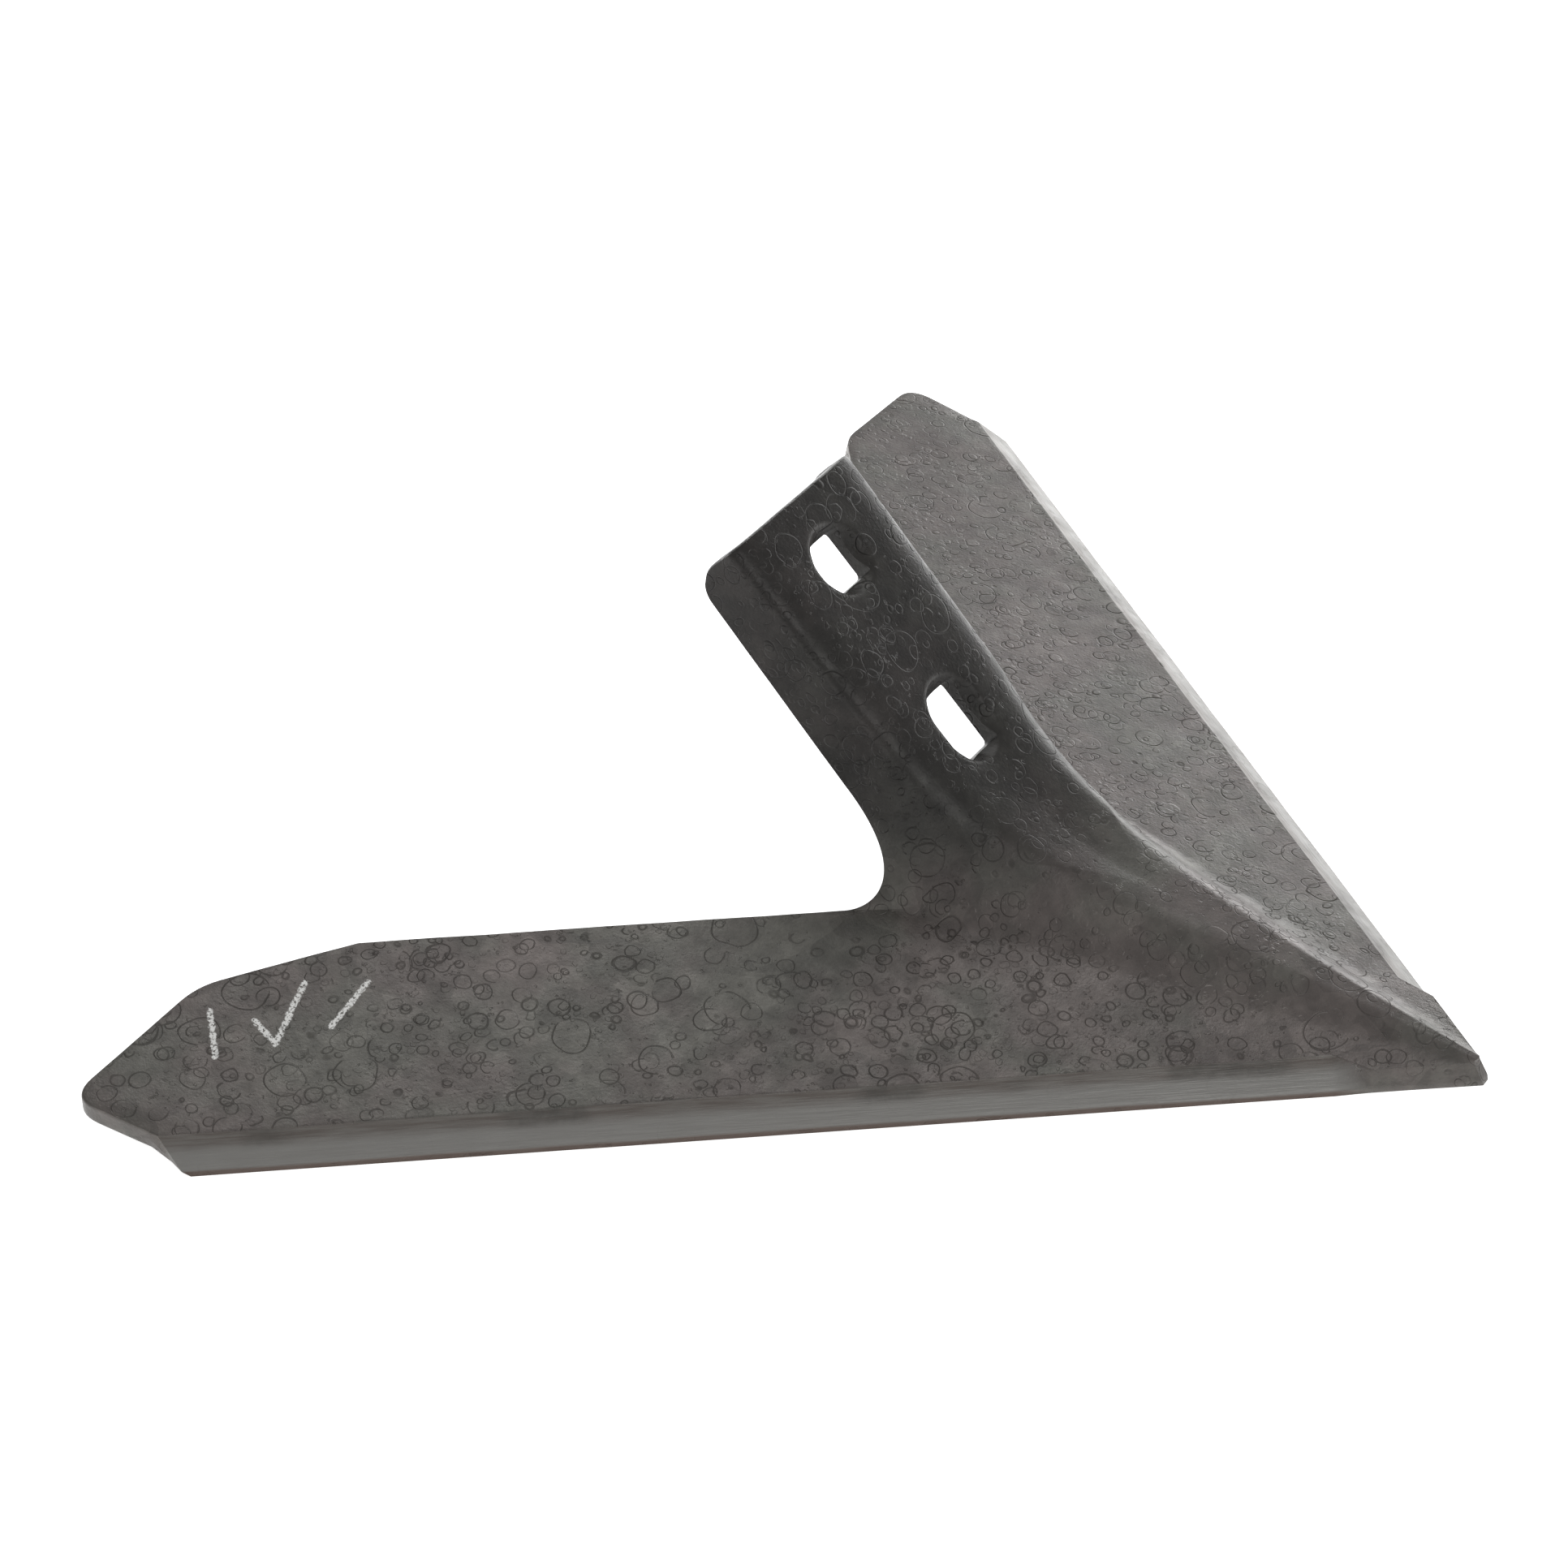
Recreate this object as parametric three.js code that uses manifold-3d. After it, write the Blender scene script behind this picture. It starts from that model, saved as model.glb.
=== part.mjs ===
// A duckfoot cultivator sweep: one plate of forged steel, pressed into two swept wings with a bevelled
// cutting edge, a crowned ridge, and a channel-shaped neck with two countersunk slots for plow bolts.
// Millimetres. +X is the direction of travel, +Y is left, +Z is up. The sweep rests on its cutting edges
// at z = 0, and the origin is under the middle of its bounding box.

import * as THREE from "three";
import { ParametricGeometry } from "three/addons/geometries/ParametricGeometry.js";
import { mergeVertices } from "three/addons/utils/BufferGeometryUtils.js";
import Module from "manifold-3d";

const wasm = await Module();
wasm.setup();

// ---------- Driving dimensions ----------

const plate = 6; // thickness of the steel
const noseAngle = 38.3; // degrees between the direction of travel and each cutting edge
const wingLift = 11.5; // degrees that a wing rises from its cutting edge to its rear edge

// Outline of a wing, as [along the cutting edge from the virtual nose, up the wing from that edge].
const noseTop = 4.6;
const noseFoot = 1.8;
const tailFoot = [326, 0];
const tailBevelEnd = 333.8;
const tailTip = [355.4, 23.2];
const tailShoulder = [323.5, 56.5];
const rearCorner = [282.5, 67.7];
const rearEdgeEnd = 157; // where the rear edge starts to turn up to the neck
const tipRound = 8;
const shoulderRound = 6;

// The ground bevel, and the full steel left in front of it at the nose.
const bevelWidth = 8.8;
const edgeFlat = 1.8;
const flatSetBack = 0.3;
const noseFace = 3;
const bevelStart = 31;
const bevelFull = 40;

// The ridge on the centreline, and the neck that leans back from it.
const ridgeNose = 6.5; // height of the ridge line at the virtual nose
const root = { x: -129.5, z: 31 }; // where the ridge line and the neck line would meet
const rootBendFront = 32; // the bend between them starts this far in front of that point
const rootBendUp = 28; // and ends this far up the neck
const neckLean = 44; // degrees from level
const neckLength = 107.8; // from that point to the end of the neck
const flangeDepthLow = 20.6; // from the face to the rear edge of a flange, at its foot
const flangeDepthHigh = 18; // and at its end
const flangeHalf = 29.3; // half the width over the flanges
const flangeStart = 42; // up the neck, where the flange's rear edge is straight
const endRound = 8; // rounding of a flange's rear edge at the neck's end
const endArcFrom = 15; // degrees left off each end of that rounding's arc
const notchIn = 8; // how far the notch between a wing and the neck eats into the wing
const notchDown = 31; // and into the flange

// Half the width of the crowned face: narrow at the nose, widening with the square of the distance behind
// it until the straight neck takes over. The crown's foot spreads evenly.
const crown = {
  nose: 1,
  widening: 0.03,
  curve: 0.00095,
  neckBase: 18.05,
  neckSpread: 0.0502,
  footSpread: 0.23,
};

// Bends between the face, the sides and the wings.
const faceBend = 13;
const footBend = 8;
const hollow = { across: 0.7, up: 0.3 }; // how far the crown's foot hugs the neck as it turns up it

// Slots for the bolts: a square throat behind a round countersink.
const slotWidth = 14;
const slots = [
  { up: 36, length: 20 },
  { up: 88, length: 15 },
];
const throatCorner = 1; // chamfer in the throat's corners
const rimFlare = 3.2;
const rimDepth = 3.4;
const rimInset = 0.3; // the countersink begins a little inside the throat
const rimOver = 0.6; // and its cutter ends a little above the face
const rimPieces = 11; // in each of the countersink's half rounds

// How finely the skin is divided: rows from the nose to the neck's end, and pieces of each row.
const edgeRows = 12;
const rearRows = 6;
const filletRows = 11;
const neckRows = 8;
const tailPieces = 4; // in each straight or curved part of the tail's outline
const cornerPieces = 4; // in each round at the neck's end
const pieces = { face: 3, faceBend: 5, side: 2, footBend: 3, wing: 3 };

// Where the rows that end on the nose, the tail's foot, the rear corner and the rear edge's end start from on
// the centreline.
const centreX = { nose: -4, tailFoot: -60, rearCorner: -80, rearEnd: -98 };

// ---------- Directions ----------

const { degToRad, lerp } = THREE.MathUtils;
const vec = (x, y, z) => new THREE.Vector3(x, y, z);
const sweep = degToRad(noseAngle);
const lift = degToRad(wingLift);
const lean = degToRad(neckLean);

// Left wing: along its cutting edge, up its slope, and out of its top face.
const alongEdge = vec(-Math.cos(sweep), Math.sin(sweep), 0);
const upWing = vec(-Math.sin(sweep) * Math.cos(lift), -Math.cos(sweep) * Math.cos(lift), Math.sin(lift));
const outOfWing = alongEdge.clone().cross(upWing);

// Neck: up its length, and out of its front face.
const upNeck = vec(-Math.cos(lean), 0, Math.sin(lean));
const outOfNeck = vec(Math.sin(lean), 0, Math.cos(lean));

const onWing = (s, w, above = plate) =>
  vec(0, 0, 0).addScaledVector(alongEdge, s).addScaledVector(upWing, w).addScaledVector(outOfWing, above);

const wingHeight = (x, y) => (plate - x * outOfWing.x - y * outOfWing.y) / outOfWing.z;

const onNeck = (up, y, depth = 0) =>
  vec(root.x, y, root.z).addScaledVector(upNeck, up).addScaledVector(outOfNeck, -depth);

// ---------- The centreline and the two creases beside it ----------

const ridgeSlope = (root.z - ridgeNose) / -root.x;
const bendFront = root.x + rootBendFront;
const bendEnd = onNeck(rootBendUp, 0);

// Height of the face at x: the ridge line, then a bend, then the neck line.
function faceHeight(x) {
  if (x > bendFront) return ridgeNose - ridgeSlope * x;
  if (x < bendEnd.x) return root.z + (root.x - x) * Math.tan(lean);
  const a = bendFront - 2 * root.x + bendEnd.x;
  const b = 2 * (root.x - bendFront);
  const c = bendFront - x;
  const t = (-b - Math.sqrt(b * b - 4 * a * c)) / (2 * a);
  const start = ridgeNose - ridgeSlope * bendFront;
  return (1 - t) ** 2 * start + 2 * t * (1 - t) * root.z + t * t * bendEnd.z;
}

// Half the width of the crowned face, and of the crown's foot on the wings, at a distance behind the nose.
const ridgeHalf = (back) => crown.nose + crown.widening * back + crown.curve * back * back;
const faceHalf = (back) => Math.min(ridgeHalf(back), crown.neckBase + crown.neckSpread * back);
const footHalf = (back) => crown.nose + crown.footSpread * back;

// The point between a and b, seen from above, where half(distance behind the nose) is reached.
function crossing(a, b, half) {
  let low = 0;
  let high = 1;
  while (high - low > 1e-9) {
    const t = (low + high) / 2;
    if (lerp(a.y, b.y, t) < half(-lerp(a.x, b.x, t))) low = t;
    else high = t;
  }
  return a.clone().lerp(b, low);
}

// ---------- Rows of the left half ----------
// A row runs over the top skin from the centreline to the outline. It has a point on the centreline, one on
// the convex crease beside the face, one on the concave crease at the crown's foot, and one on the outline.
// Its edge point is part way down the rim, and its under point is on the outline of the underside.

function wingRow(startX, rim, edge, under) {
  const centre = vec(startX, 0, faceHeight(startX));
  const face = crossing(centre, rim, faceHalf);
  face.z = faceHeight(face.x);
  const foot = crossing(centre, rim, footHalf);
  foot.z = wingHeight(foot.x, foot.y);
  return { centre, face, foot, rim, edge, under };
}

function plainWingRow(startX, s, w) {
  return wingRow(startX, onWing(s, w), onWing(s, w, plate / 2), onWing(s, w, 0));
}

function roundedOutline() {
  const towards = (from, to, distance) => {
    const a = new THREE.Vector2(...from);
    const b = new THREE.Vector2(...to);
    return a.addScaledVector(b.clone().sub(a).normalize(), distance);
  };
  const outline = new THREE.Path();
  const tipIn = towards(tailTip, [tailBevelEnd, bevelWidth], tipRound);
  const tipOut = towards(tailTip, tailShoulder, tipRound);
  const shoulderIn = towards(tailShoulder, tailTip, shoulderRound);
  const shoulderOut = towards(tailShoulder, rearCorner, shoulderRound);
  outline.moveTo(tipIn.x, tipIn.y);
  outline.quadraticCurveTo(...tailTip, tipOut.x, tipOut.y);
  outline.lineTo(shoulderIn.x, shoulderIn.y);
  outline.quadraticCurveTo(...tailShoulder, shoulderOut.x, shoulderOut.y);
  outline.lineTo(...rearCorner);
  return outline.getPoints(tailPieces);
}

function edgeRow(i) {
  const startX = lerp(centreX.nose, centreX.tailFoot, i / edgeRows);
  const rowOnEdge = (top, width, foot) => {
    const flatTop = onWing(lerp(foot, top, edgeFlat / plate), flatSetBack, edgeFlat);
    return wingRow(startX, onWing(top, width), flatTop, onWing(foot, 0, 0));
  };
  if (i === 0) return rowOnEdge(noseTop, noseFace, noseFoot);
  if (i === 1) return rowOnEdge(bevelStart, noseFace, bevelStart);
  if (i === edgeRows) return rowOnEdge(tailBevelEnd, bevelWidth, tailFoot[0]);
  const s = lerp(bevelFull, tailFoot[0], (i - 2) / (edgeRows - 2));
  return rowOnEdge(s, bevelWidth, s);
}

function wingRows() {
  const rows = [];
  for (let i = 0; i <= edgeRows; i++) rows.push(edgeRow(i));
  const tail = roundedOutline();
  tail.forEach((p, i) => {
    const startX = lerp(centreX.tailFoot, centreX.rearCorner, (i + 1) / tail.length);
    rows.push(plainWingRow(startX, p.x, p.y));
  });
  for (let i = 1; i <= rearRows; i++) {
    const t = i / rearRows;
    const startX = lerp(centreX.rearCorner, centreX.rearEnd, t);
    rows.push(plainWingRow(startX, lerp(rearCorner[0], rearEdgeEnd, t), rearCorner[1]));
  }
  return rows;
}

const flangeDepth = (up) =>
  lerp(flangeDepthLow, flangeDepthHigh, (up - flangeStart) / (neckLength - flangeStart));

function neckRow(up) {
  const centre = onNeck(up, 0);
  const face = onNeck(up, faceHalf(-centre.x));
  const rim = onNeck(up, flangeHalf, flangeDepth(up));
  const foot = face.clone().lerp(rim, 0.5);
  return { centre, face, foot, rim };
}

function filletRow(t, from, to) {
  const startX = lerp(from.centre.x, to.centre.x, t);
  const centre = vec(startX, 0, faceHeight(startX));
  const faceX = lerp(from.face.x, to.face.x, t);
  const face = vec(faceX, lerp(from.face.y, to.face.y, t), faceHeight(faceX));
  const rim = new THREE.CubicBezierCurve3(
    from.rim,
    from.rim.clone().addScaledVector(alongEdge, -notchIn),
    to.rim.clone().addScaledVector(upNeck, -notchDown),
    to.rim,
  ).getPoint(t);
  const turnY = lerp(from.foot.y, to.foot.y, hollow.across);
  const turn = vec(from.foot.x, turnY, lerp(from.foot.z, to.foot.z, hollow.up));
  const foot = new THREE.QuadraticBezierCurve3(from.foot, turn, to.foot).getPoint(t);
  return { centre, face, foot, rim };
}

function allRows() {
  const rows = wingRows();
  const last = rows[rows.length - 1];
  const first = neckRow(flangeStart);
  for (let i = 1; i < filletRows; i++) rows.push(filletRow(i / filletRows, last, first));
  for (let i = 0; i <= neckRows; i++) rows.push(neckRow(lerp(flangeStart, neckLength, i / neckRows)));
  return rows;
}

// Points of a row on the top skin: straight pieces joined by two rounded corners.
function skinLine({ centre, face, foot, rim }) {
  const toward = (a, b, d) => a.clone().lerp(b, Math.min(0.46, d / a.distanceTo(b)));
  const faceIn = toward(face, centre, faceBend);
  const faceOut = toward(face, foot, faceBend);
  const footIn = toward(foot, face, footBend);
  const footOut = toward(foot, rim, footBend);
  const line = [];
  const add = (curve, count) => {
    for (let i = 0; i < count; i++) line.push(curve.getPoint(i / count));
  };
  add(new THREE.LineCurve3(centre, faceIn), pieces.face);
  add(new THREE.QuadraticBezierCurve3(faceIn, face, faceOut), pieces.faceBend);
  add(new THREE.LineCurve3(faceOut, footIn), pieces.side);
  add(new THREE.QuadraticBezierCurve3(footIn, foot, footOut), pieces.footBend);
  add(new THREE.LineCurve3(footOut, rim), pieces.wing);
  line.push(rim.clone());
  return line;
}

// ---------- The closed skin ----------

const rows = allRows();
const lines = rows.map(skinLine);
const rowEnd = lines.length - 1;
const lineEnd = lines[0].length - 1;

function topPoint(i, j) {
  const p = lines[THREE.MathUtils.clamp(i, 0, rowEnd)][Math.min(Math.abs(j), lineEnd)];
  return j < 0 ? vec(p.x, -p.y, p.z) : p.clone();
}

function topNormal(i, j) {
  const across = topPoint(i, Math.min(j + 1, lineEnd)).sub(topPoint(i, j - 1));
  const along = topPoint(i + 1, j).sub(topPoint(i - 1, j));
  return along.cross(across).normalize().multiplyScalar(-1);
}

// One ring of points around each row of the left half, from the centreline over the top to the rim, and
// back under it to the centreline.
function halfRing(i) {
  const ring = [];
  for (let j = 0; j <= lineEnd; j++) ring.push(topPoint(i, j));
  const rimUnder = topPoint(i, lineEnd).addScaledVector(topNormal(i, lineEnd), -plate);
  const under = rows[i].under ?? rimUnder;
  ring.push(rows[i].edge ?? topPoint(i, lineEnd).lerp(under, 0.5));
  ring.push(under.clone());
  for (let j = lineEnd - 1; j >= 0; j--) ring.push(topPoint(i, j).addScaledVector(topNormal(i, j), -plate));
  return ring;
}

const rings = rows.map((_, i) => {
  const left = halfRing(i);
  const right = left.slice(1, -1).reverse().map((p) => vec(p.x, -p.y, p.z));
  return [...left, ...right, left[0].clone()];
});

// Each end is closed by a ring folded flat between its top and its underside.
function foldedRing(ring) {
  const half = (ring.length - 1) / 2;
  const partner = (n) => (n <= half ? half - n : ring.length - 1 - (n - half));
  return ring.map((p, n) => p.clone().lerp(ring[partner(n)], 0.5));
}

rings.unshift(foldedRing(rings[0]));
rings.push(foldedRing(rings[rings.length - 1]));

function closedSkin() {
  const slices = rings[0].length - 1;
  const stacks = rings.length - 1;
  const place = (u, v, target) => target.copy(rings[Math.round(v * stacks)][Math.round(u * slices)]);
  return new ParametricGeometry(place, slices, stacks);
}

// ---------- Solids, and the cuts ----------

function solid(geometry) {
  const bare = geometry.clone();
  bare.deleteAttribute("normal");
  bare.deleteAttribute("uv");
  const merged = mergeVertices(bare, 1e-4);
  const index = merged.index.array;
  const kept = [];
  for (let i = 0; i < index.length; i += 3) {
    const [a, b, c] = index.slice(i, i + 3);
    if (a !== b && b !== c && c !== a) kept.push(a, b, c);
  }
  return new wasm.Manifold(
    new wasm.Mesh({
      numProp: 3,
      vertProperties: merged.attributes.position.array,
      triVerts: new Uint32Array(kept),
    }),
  );
}

function geometryOf(made) {
  const mesh = made.getMesh();
  const geometry = new THREE.BufferGeometry();
  geometry.setAttribute("position", new THREE.BufferAttribute(mesh.vertProperties, 3));
  geometry.setIndex(new THREE.BufferAttribute(mesh.triVerts, 1));
  return geometry;
}

// Turns a cutter's own axes to the neck's: x across it, y up it, z out of its face.
function placeOnNeck(geometry, up) {
  const turn = new THREE.Matrix4().makeBasis(vec(0, 1, 0), upNeck, outOfNeck);
  return geometry.applyMatrix4(turn.setPosition(onNeck(up, 0)));
}

function roundSlot(width, length) {
  const shape = new THREE.Shape();
  const radius = width / 2;
  const y = length / 2 - radius;
  shape.absarc(0, y, radius, 0, Math.PI);
  shape.absarc(0, -y, radius, Math.PI, 2 * Math.PI);
  return shape;
}

function squareSlot(width, length, corner) {
  const x = width / 2;
  const y = length / 2;
  const shape = new THREE.Shape();
  shape.moveTo(x, y - corner);
  shape.lineTo(x - corner, y);
  shape.lineTo(corner - x, y);
  shape.lineTo(-x, y - corner);
  shape.lineTo(-x, corner - y);
  shape.lineTo(corner - x, -y);
  shape.lineTo(x - corner, -y);
  shape.lineTo(x, corner - y);
  return shape;
}

function slotCutter({ up, length }) {
  const square = squareSlot(slotWidth, length, throatCorner);
  const throatLength = 6 * plate;
  const throat = new THREE.ExtrudeGeometry(square, { depth: throatLength, bevelEnabled: false });
  throat.translate(0, 0, -throatLength / 2);
  const rim = new THREE.ExtrudeGeometry(roundSlot(slotWidth - 2 * rimInset, length - 2 * rimInset), {
    depth: plate,
    bevelThickness: rimDepth + rimOver,
    bevelSize: ((rimFlare + rimInset) * (rimDepth + rimOver)) / rimDepth,
    bevelSegments: 1,
    curveSegments: rimPieces,
  });
  rim.translate(0, 0, rimOver);
  return solid(placeOnNeck(throat, up)).add(solid(placeOnNeck(rim, up)));
}

// What rounds the rear corners of both flanges at the neck's end, drawn up the neck and back from its face.
// The ends of its arc run straight on, so they cross the flange's edges at an angle.
function cornerCutter() {
  const middle = new THREE.Vector2(neckLength - endRound, flangeDepth(neckLength - endRound) - endRound);
  const onArc = (angle, onward) =>
    middle
      .clone()
      .add(new THREE.Vector2(endRound, onward).rotateAround(new THREE.Vector2(), angle));
  const last = degToRad(endArcFrom);
  const first = Math.PI / 2 - last;
  const shape = new THREE.Shape();
  const start = onArc(first, plate);
  const finish = onArc(last, -plate);
  shape.moveTo(start.x, start.y);
  shape.absarc(middle.x, middle.y, endRound, first, last, true);
  shape.lineTo(finish.x, finish.y);
  shape.lineTo(finish.x, start.y + plate);
  shape.lineTo(start.x, start.y + plate);
  const width = 4 * flangeHalf;
  const extrusion = { depth: width, bevelEnabled: false, curveSegments: cornerPieces };
  const prism = new THREE.ExtrudeGeometry(shape, extrusion);
  prism.translate(0, 0, -width / 2);
  const turn = new THREE.Matrix4().makeBasis(upNeck, outOfNeck.clone().negate(), vec(0, -1, 0));
  return solid(prism.applyMatrix4(turn.setPosition(onNeck(0, 0))));
}

let sweepSolid = solid(closedSkin()).subtract(cornerCutter());
for (const slot of slots) sweepSolid = sweepSolid.subtract(slotCutter(slot));

// ---------- The part ----------

const tidyTolerance = 0.004; // edges shorter than this are closed up
const sweepGeometry = geometryOf(sweepSolid.simplify(tidyTolerance));
sweepGeometry.computeBoundingBox();
const { min, max } = sweepGeometry.boundingBox;
sweepGeometry.translate(-(min.x + max.x) / 2, 0, -min.z);
sweepGeometry.computeVertexNormals();

const forgedSteel = new THREE.MeshStandardMaterial({ color: 0x5a5955, roughness: 0.55, metalness: 0.85 });
const body = new THREE.Mesh(sweepGeometry, forgedSteel);
body.name = "sweep_blade";

const group = new THREE.Group();
group.add(body);

export default group;
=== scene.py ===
# %% [markdown]
# # A duckfoot cultivator sweep
# One plate of forged steel is pressed into two swept wings, a crowned ridge and a channel-shaped neck. The
# CAD model gives the frame: its box, its origin and its one body. This script makes the skin that is seen,
# finer than the CAD one, and its finish of heat-treatment scale, ground bevels and worn edges.
# Lengths are written in millimetres, as on a workshop drawing, and turned to metres when a mesh is made.

import math

import bmesh
import bpy
from mathutils import Matrix, Vector, noise


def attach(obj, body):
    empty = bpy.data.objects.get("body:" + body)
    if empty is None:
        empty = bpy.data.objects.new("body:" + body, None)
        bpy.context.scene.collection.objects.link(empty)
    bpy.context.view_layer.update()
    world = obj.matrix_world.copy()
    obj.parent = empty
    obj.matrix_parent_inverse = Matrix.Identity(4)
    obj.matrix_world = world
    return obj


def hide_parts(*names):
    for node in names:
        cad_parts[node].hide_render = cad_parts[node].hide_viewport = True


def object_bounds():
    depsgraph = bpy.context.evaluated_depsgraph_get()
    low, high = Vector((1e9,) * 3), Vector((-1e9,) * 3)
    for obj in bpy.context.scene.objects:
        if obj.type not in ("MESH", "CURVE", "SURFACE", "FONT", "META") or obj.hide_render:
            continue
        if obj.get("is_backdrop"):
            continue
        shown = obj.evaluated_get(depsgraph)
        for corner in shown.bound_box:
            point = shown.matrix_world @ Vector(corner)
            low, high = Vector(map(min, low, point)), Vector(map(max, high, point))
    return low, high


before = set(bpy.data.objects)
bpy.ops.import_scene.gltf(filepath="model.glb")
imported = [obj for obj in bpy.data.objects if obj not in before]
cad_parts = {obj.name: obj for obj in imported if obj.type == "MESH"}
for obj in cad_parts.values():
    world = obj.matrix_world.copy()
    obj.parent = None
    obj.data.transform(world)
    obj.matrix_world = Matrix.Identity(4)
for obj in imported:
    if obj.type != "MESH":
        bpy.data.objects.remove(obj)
cad_low, cad_high = (corner.copy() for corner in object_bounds())
MM = 0.001
print("CAD box in mm:", [round(v / MM, 1) for v in (*cad_low, *cad_high)])

# %% [markdown]
# ## The drawing
# The same driving dimensions make the CAD part. A wing is measured along its cutting edge from the point
# where the two edges would meet, and up its slope from that edge. The neck is measured up its length from
# the point where the ridge line and the neck line would meet. Names beat bare numbers here, because every
# later step refers to them.

# %% Driving dimensions
plate = 6.0
sweep = math.radians(38.3)
lift = math.radians(11.5)
lean = math.radians(44.0)

nose_top, nose_foot, nose_face = 4.6, 1.8, 3.0
bevel_start, bevel_full, bevel_width = 31.0, 40.0, 8.8
edge_flat, flat_set_back = 1.8, 0.3
tail_foot, tail_bevel_end = 326.0, 333.8
tail_tip, tail_shoulder = Vector((355.4, 23.2)), Vector((323.5, 56.5))
rear_corner, rear_edge_end = Vector((282.5, 67.7)), 157.0
tip_round, shoulder_round = 8.0, 6.0

ridge_nose = 6.5
root_x, root_z = -129.5, 31.0
root_bend_front, root_bend_up = 32.0, 28.0
neck_length, flange_start = 107.8, 42.0
flange_low, flange_high, flange_half = 20.6, 18.0, 29.3
end_round, notch_in, notch_down = 8.0, 8.0, 31.0
face_bend, foot_bend = 13.0, 8.0
crown_nose, crown_widening, crown_curve = 1.0, 0.03, 0.00095
neck_base, neck_spread, foot_spread = 18.05, 0.0502, 0.23
hollow_across, hollow_up = 0.7, 0.3
slots = [(36.0, 20.0), (88.0, 15.0)]  # up the neck, and length
slot_width, throat_corner = 14.0, 1.4
dish_floor_radius, dish_floor_z = 6.7, -3.4

# Where the rows that end at the nose, the tail's foot, the rear corner and the rear edge's end start from.
from_centre = {"nose": -4.0, "tail": -60.0, "corner": -80.0, "end": -98.0}
tail_rows, rear_rows, notch_rows, neck_rows = 120, 46, 44, 44

# %% [markdown]
# ## Directions and heights
# A left wing has three directions of its own: along its edge, up its slope, and out of its top face. The neck
# has two more. The right half is the left one mirrored, so only the left half is worked out.

# %% Directions
along_edge = Vector((-math.cos(sweep), math.sin(sweep), 0))
up_wing = Vector((-math.sin(sweep) * math.cos(lift), -math.cos(sweep) * math.cos(lift), math.sin(lift)))
out_of_wing = along_edge.cross(up_wing)
up_neck = Vector((-math.cos(lean), 0, math.sin(lean)))
out_of_neck = Vector((math.sin(lean), 0, math.cos(lean)))
to_frame = Vector((cad_high.x / MM + nose_foot * math.cos(sweep), 0, 0))


def mix(a, b, t):
    return a + (b - a) * t


def on_wing(s, w, above=plate):
    return along_edge * s + up_wing * w + out_of_wing * above


def on_neck(up, y, depth=0.0):
    return Vector((root_x, y, root_z)) + up_neck * up - out_of_neck * depth


def wing_height(x, y):
    return (plate - x * out_of_wing.x - y * out_of_wing.y) / out_of_wing.z


ridge_slope = (root_z - ridge_nose) / -root_x
bend_front = root_x + root_bend_front
bend_end = on_neck(root_bend_up, 0)


def face_height(x):
    """Height of the centreline: the ridge, then a bend, then the neck."""
    if x > bend_front:
        return ridge_nose - ridge_slope * x
    if x < bend_end.x:
        return root_z + (root_x - x) * math.tan(lean)
    a = bend_front - 2 * root_x + bend_end.x
    b = 2 * (root_x - bend_front)
    t = (-b - math.sqrt(b * b - 4 * a * (bend_front - x))) / (2 * a)
    start = ridge_nose - ridge_slope * bend_front
    return (1 - t) ** 2 * start + 2 * t * (1 - t) * root_z + t * t * bend_end.z


def face_half(back):
    ridge = crown_nose + crown_widening * back + crown_curve * back * back
    return min(ridge, neck_base + neck_spread * back)


def foot_half(back):
    return crown_nose + foot_spread * back


def crossing(a, b, half):
    """The point between a and b, seen from above, where half(distance behind the nose) is reached."""
    low, high = 0.0, 1.0
    for _ in range(30):
        t = (low + high) / 2
        if mix(a.y, b.y, t) < half(-mix(a.x, b.x, t)):
            low = t
        else:
            high = t
    return a.lerp(b, low)


print("ridge rises", round(math.degrees(math.atan(ridge_slope)), 1), "degrees")

# %% [markdown]
# ## Rows over the skin
# The skin is a fan of rows. Each row starts on the centreline, crosses the crown and a wing, and ends on the
# outline, which runs from the nose along the cutting edge, round the tail, back along the rear edge, through
# the notch and up the neck. A row keeps four points: centre, the crease beside the face, the crown's foot,
# and the rim. Rows are a natural way to build pressed plate, because its edge is one smooth outline.


# %% Rows on a wing
def wing_row(start_x, rim, edge, under, ground=0.0):
    centre = Vector((start_x, 0, face_height(start_x)))
    face = crossing(centre, rim, face_half)
    face.z = face_height(face.x)
    foot = crossing(centre, rim, foot_half)
    foot.z = wing_height(foot.x, foot.y)
    return {"points": (centre, face, foot, rim), "edge": edge, "under": under, "ground": ground}


def cutting_edge_row(t):
    """t runs from 0 at the nose to 12 at the tail's foot."""
    start_x = mix(from_centre["nose"], from_centre["tail"], t / 12)
    if t < 1:
        top, foot, width = mix(nose_top, bevel_start, t), mix(nose_foot, bevel_start, t), nose_face
    elif t < 2:
        top = foot = mix(bevel_start, bevel_full, t - 1)
        width = mix(nose_face, bevel_width, t - 1)
    else:
        top = foot = mix(bevel_full, tail_foot, (t - 2) / 10)
        width = bevel_width
        top += (tail_bevel_end - tail_foot) * max(0.0, t - 11)
    rim = on_wing(top, width)
    edge = on_wing(mix(foot, top, 0.3), flat_set_back, edge_flat)
    return wing_row(start_x, rim, edge, on_wing(foot, 0, 0), min(1.0, max(0.0, t - 1)))


def plain_row(start_x, s, w):
    return wing_row(start_x, on_wing(s, w), on_wing(s, w, plate / 2), on_wing(s, w, 0))


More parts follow.
